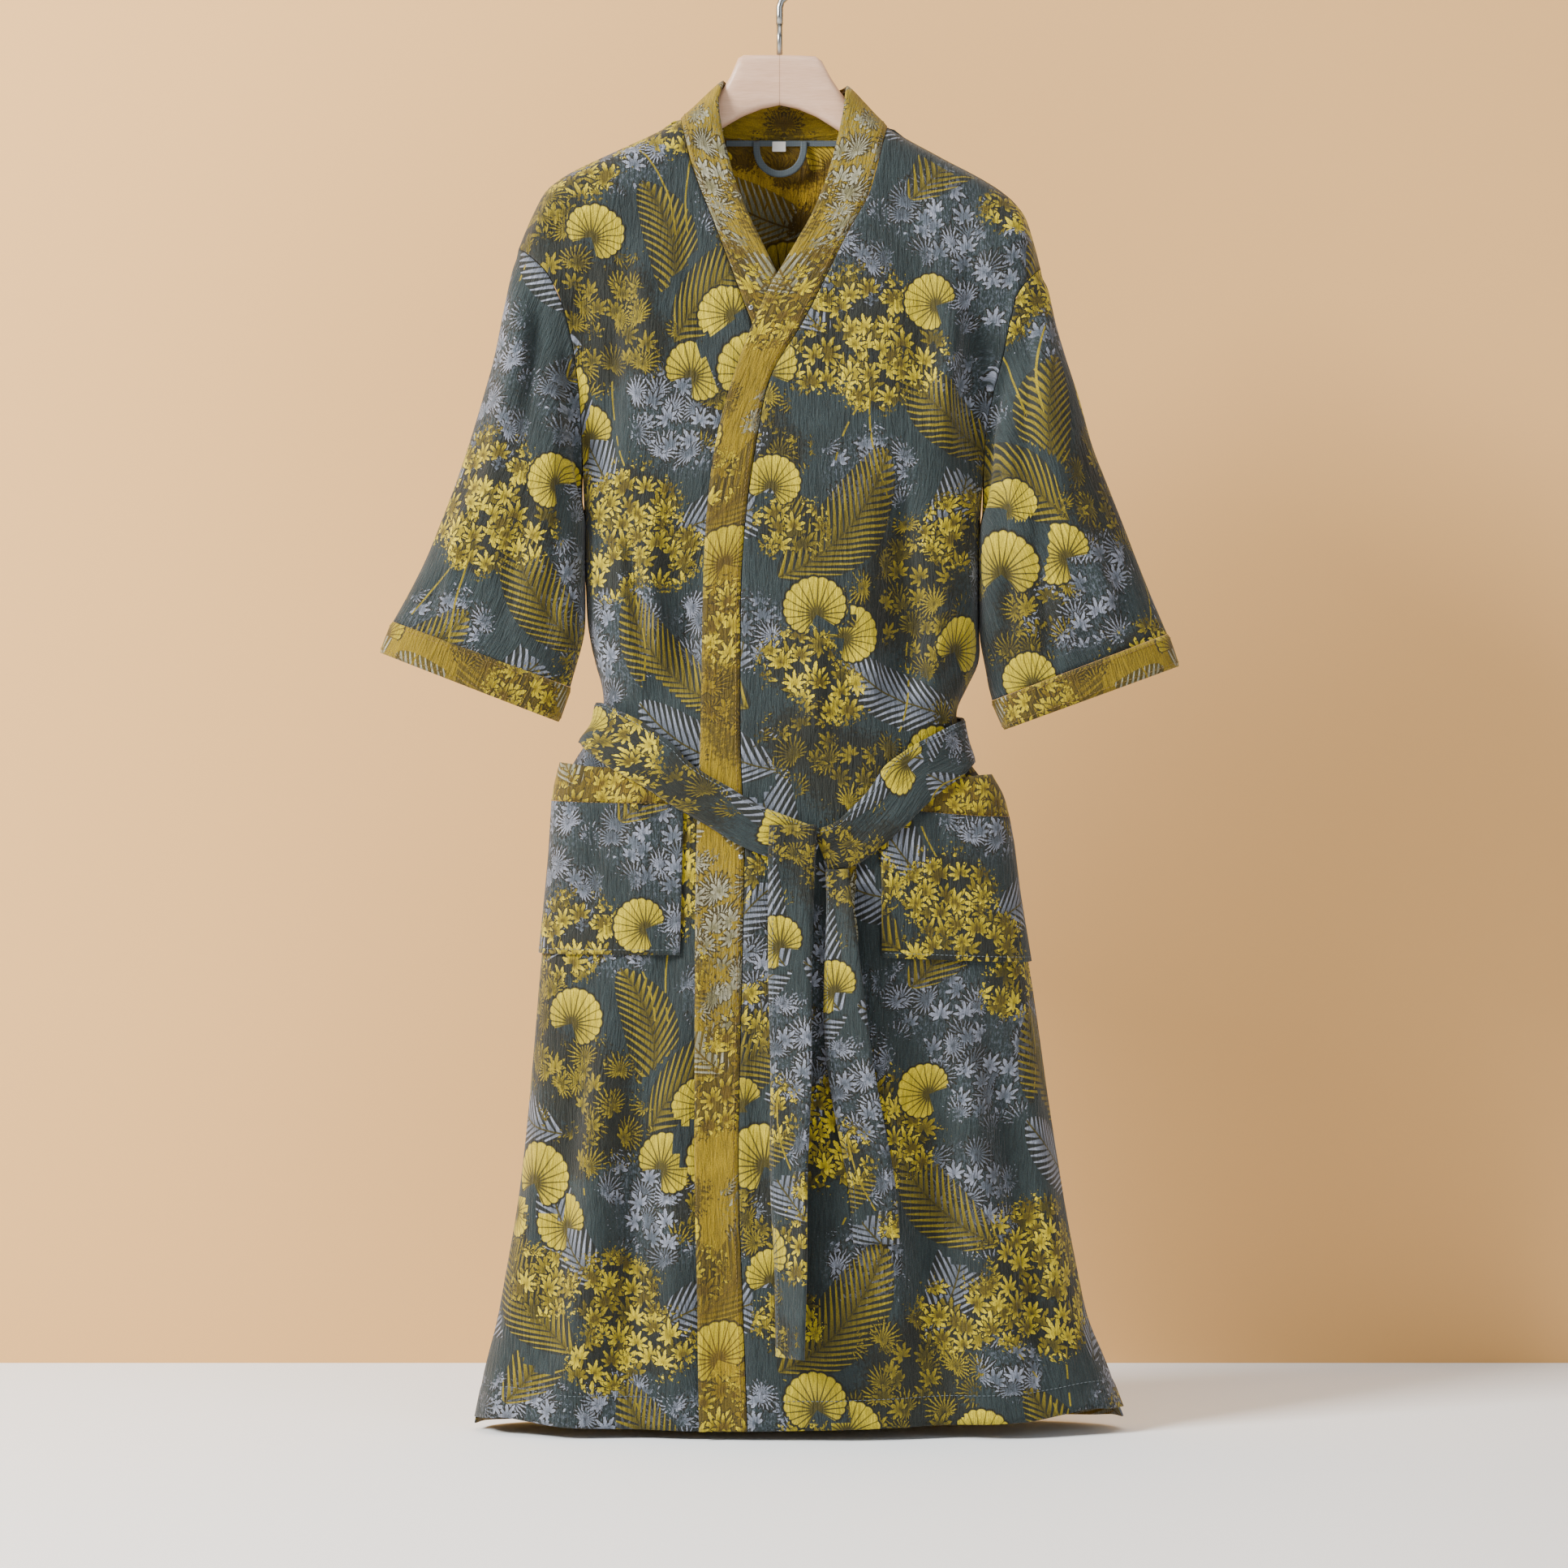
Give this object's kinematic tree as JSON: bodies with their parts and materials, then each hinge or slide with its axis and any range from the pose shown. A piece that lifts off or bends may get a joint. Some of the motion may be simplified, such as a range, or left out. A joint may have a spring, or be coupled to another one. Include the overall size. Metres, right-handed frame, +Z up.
{
  "type": "kimono robe on a wooden hanger",
  "caption": "Knee-length wrap robe with kimono sleeves, folded cuffs, two patch pockets and a tied belt, hanging left front over right on a wooden hanger with a steel hook.",
  "frame": {"origin": "seat of the hanger's hook, where the rail carries it: the lowest point of the hook's inner curve at the top", "axes": "+Z up along the hanging robe, -Y out of the robe's front, +X to the viewer's right (the wearer's left)"},
  "size_m": [0.7142, 0.1752, 1.3285],
  "materials": {
    "cloth_face": "crinkled double gauze cotton, grey-green ground with woven grey and gold foliage",
    "cloth_reverse": "the same cloth's golden reverse",
    "tape": "woven cotton tape",
    "label": "plain white woven label",
    "steel": "satin steel",
    "wood": "pale wood, satin lacquer"
  },
  "bodies": {
    "root": {"back": "cloth_face", "front_left": "cloth_face", "front_right": "cloth_face", "band_left": "cloth_reverse", "band_right": "cloth_reverse", "sleeve_left": "cloth_face", "sleeve_right": "cloth_face", "cuff_left": "cloth_reverse", "cuff_right": "cloth_reverse", "pocket_left": "cloth_face", "pocket_right": "cloth_face", "pocket_band_left": "cloth_reverse", "pocket_band_right": "cloth_reverse", "belt_round": "cloth_face", "belt_tail_long": "cloth_face", "belt_tail_short": "cloth_face", "neck_tape": "tape", "hanging_loop": "tape", "neck_label": "label", "stud_neck": "steel", "stud_waist": "steel", "hanger": "wood", "hanger_hook": "steel", "hanger_pin": "steel"}
  },
  "joints": []
}
